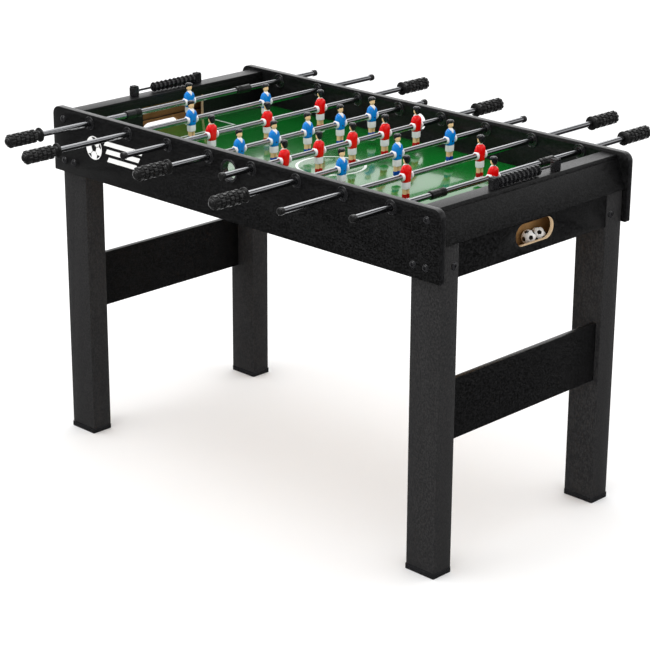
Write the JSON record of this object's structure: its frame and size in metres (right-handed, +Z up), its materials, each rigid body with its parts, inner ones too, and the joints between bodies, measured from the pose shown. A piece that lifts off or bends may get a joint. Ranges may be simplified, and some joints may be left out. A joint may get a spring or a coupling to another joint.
{
  "type": "foosball table",
  "caption": "Free-standing table football game: rods through the side panels carry teams of men over a printed playfield, with goals, ball-return trays and scorers at the ends.",
  "frame": {"origin": "on the floor, at the centre of the footprint", "axes": "+X goal to goal, towards the red keeper; +Y along the rods, towards the back player; +Z up"},
  "size_m": [1.18, 1.186, 0.814],
  "materials": {
    "black_laminate": "black fine-grained foil on fibreboard",
    "leg_laminate": "charcoal wood-grained foil on fibreboard",
    "field_print": "glossy green print with white lines",
    "chrome_tube": "bright chrome-plated steel tube",
    "black_rubber": "matte moulded grip",
    "black_plastic": "satin moulded plastic",
    "blue_team": "glossy painted plastic, blue shirt",
    "red_team": "glossy painted plastic, red shirt",
    "ball_plastic": "white plastic with black patches"
  },
  "bodies": {
    "root": {"front_side_panel": "black_laminate", "back_side_panel": "black_laminate", "playfield": "field_print", "right_end_box": "black_laminate", "left_end_box": "black_laminate", "front_right_leg": "leg_laminate", "back_right_leg": "leg_laminate", "right_stretcher": "black_laminate", "front_left_leg": "leg_laminate", "back_left_leg": "leg_laminate", "left_stretcher": "black_laminate"},
    "right_scorer": {"right_scorer_beads": "black_plastic"},
    "left_scorer": {"left_scorer_beads": "black_plastic"},
    "match_balls": {"match_balls": "ball_plastic"},
    "rod_1_carriage": {"rod_1_end_cap": "black_rubber"},
    "rod_1_spindle": {"rod_1_tube": "chrome_tube", "rod_1_handle": "black_rubber", "rod_1_blue_man_1": "blue_team"},
    "rod_2_carriage": {"rod_2_end_cap": "black_rubber"},
    "rod_2_spindle": {"rod_2_tube": "chrome_tube", "rod_2_handle": "black_rubber", "rod_2_blue_man_1": "blue_team", "rod_2_blue_man_2": "blue_team"},
    "rod_3_carriage": {"rod_3_end_cap": "black_rubber"},
    "rod_3_spindle": {"rod_3_tube": "chrome_tube", "rod_3_handle": "black_rubber", "rod_3_red_man_1": "red_team", "rod_3_red_man_2": "red_team", "rod_3_red_man_3": "red_team"},
    "rod_4_carriage": {"rod_4_end_cap": "black_rubber"},
    "rod_4_spindle": {"rod_4_tube": "chrome_tube", "rod_4_handle": "black_rubber", "rod_4_blue_man_1": "blue_team", "rod_4_blue_man_2": "blue_team", "rod_4_blue_man_3": "blue_team", "rod_4_blue_man_4": "blue_team", "rod_4_blue_man_5": "blue_team"},
    "rod_5_carriage": {"rod_5_end_cap": "black_rubber"},
    "rod_5_spindle": {"rod_5_tube": "chrome_tube", "rod_5_handle": "black_rubber", "rod_5_red_man_1": "red_team", "rod_5_red_man_2": "red_team", "rod_5_red_man_3": "red_team", "rod_5_red_man_4": "red_team", "rod_5_red_man_5": "red_team"},
    "rod_6_carriage": {"rod_6_end_cap": "black_rubber"},
    "rod_6_spindle": {"rod_6_tube": "chrome_tube", "rod_6_handle": "black_rubber", "rod_6_blue_man_1": "blue_team", "rod_6_blue_man_2": "blue_team", "rod_6_blue_man_3": "blue_team"},
    "rod_7_carriage": {"rod_7_end_cap": "black_rubber"},
    "rod_7_spindle": {"rod_7_tube": "chrome_tube", "rod_7_handle": "black_rubber", "rod_7_red_man_1": "red_team", "rod_7_red_man_2": "red_team"},
    "rod_8_carriage": {"rod_8_end_cap": "black_rubber"},
    "rod_8_spindle": {"rod_8_tube": "chrome_tube", "rod_8_handle": "black_rubber", "rod_8_red_man_1": "red_team"}
  },
  "joints": [
    {"name": "rod_1_slide", "type": "slide", "parent": "root", "child": "rod_1_carriage", "axis": [0, 1, 0], "range_m": [-0.0865, 0.0965]},
    {"name": "rod_1_spin", "type": "hinge", "parent": "rod_1_carriage", "child": "rod_1_spindle", "pos_m": [-0.45955, 0, 0.77], "axis": [0, 1, 0], "continuous": true},
    {"name": "rod_2_slide", "type": "slide", "parent": "root", "child": "rod_2_carriage", "axis": [0, 1, 0], "range_m": [-0.1525, 0.1525]},
    {"name": "rod_2_spin", "type": "hinge", "parent": "rod_2_carriage", "child": "rod_2_spindle", "pos_m": [-0.32825, 0, 0.77], "axis": [0, 1, 0], "continuous": true},
    {"name": "rod_3_slide", "type": "slide", "parent": "root", "child": "rod_3_carriage", "axis": [0, 1, 0], "range_m": [-0.094, 0.104]},
    {"name": "rod_3_spin", "type": "hinge", "parent": "rod_3_carriage", "child": "rod_3_spindle", "pos_m": [-0.19695, 0, 0.77], "axis": [0, 1, 0], "continuous": true},
    {"name": "rod_4_slide", "type": "slide", "parent": "root", "child": "rod_4_carriage", "axis": [0, 1, 0], "range_m": [-0.054, 0.07]},
    {"name": "rod_4_spin", "type": "hinge", "parent": "rod_4_carriage", "child": "rod_4_spindle", "pos_m": [-0.06565, 0, 0.77], "axis": [0, 1, 0], "continuous": true},
    {"name": "rod_5_slide", "type": "slide", "parent": "root", "child": "rod_5_carriage", "axis": [0, 1, 0], "range_m": [-0.06, 0.064]},
    {"name": "rod_5_spin", "type": "hinge", "parent": "rod_5_carriage", "child": "rod_5_spindle", "pos_m": [0.06565, 0, 0.77], "axis": [0, 1, 0], "continuous": true},
    {"name": "rod_6_slide", "type": "slide", "parent": "root", "child": "rod_6_carriage", "axis": [0, 1, 0], "range_m": [-0.098, 0.1]},
    {"name": "rod_6_spin", "type": "hinge", "parent": "rod_6_carriage", "child": "rod_6_spindle", "pos_m": [0.19695, 0, 0.77], "axis": [0, 1, 0], "continuous": true},
    {"name": "rod_7_slide", "type": "slide", "parent": "root", "child": "rod_7_carriage", "axis": [0, 1, 0], "range_m": [-0.1525, 0.1525]},
    {"name": "rod_7_spin", "type": "hinge", "parent": "rod_7_carriage", "child": "rod_7_spindle", "pos_m": [0.32825, 0, 0.77], "axis": [0, 1, 0], "continuous": true},
    {"name": "rod_8_slide", "type": "slide", "parent": "root", "child": "rod_8_carriage", "axis": [0, 1, 0], "range_m": [-0.0955, 0.0875]},
    {"name": "rod_8_spin", "type": "hinge", "parent": "rod_8_carriage", "child": "rod_8_spindle", "pos_m": [0.45955, 0, 0.77], "axis": [0, 1, 0], "continuous": true},
    {"name": "right_scorer_slide", "type": "slide", "parent": "root", "child": "right_scorer", "axis": [0, 1, 0], "range_m": [0, 0.0432]},
    {"name": "left_scorer_slide", "type": "slide", "parent": "root", "child": "left_scorer", "axis": [0, 1, 0], "range_m": [-0.0432, 0]},
    {"name": "match_balls_roll", "type": "slide", "parent": "root", "child": "match_balls", "axis": [0, 1, 0], "range_m": [-0.238, 0.17]}
  ]
}
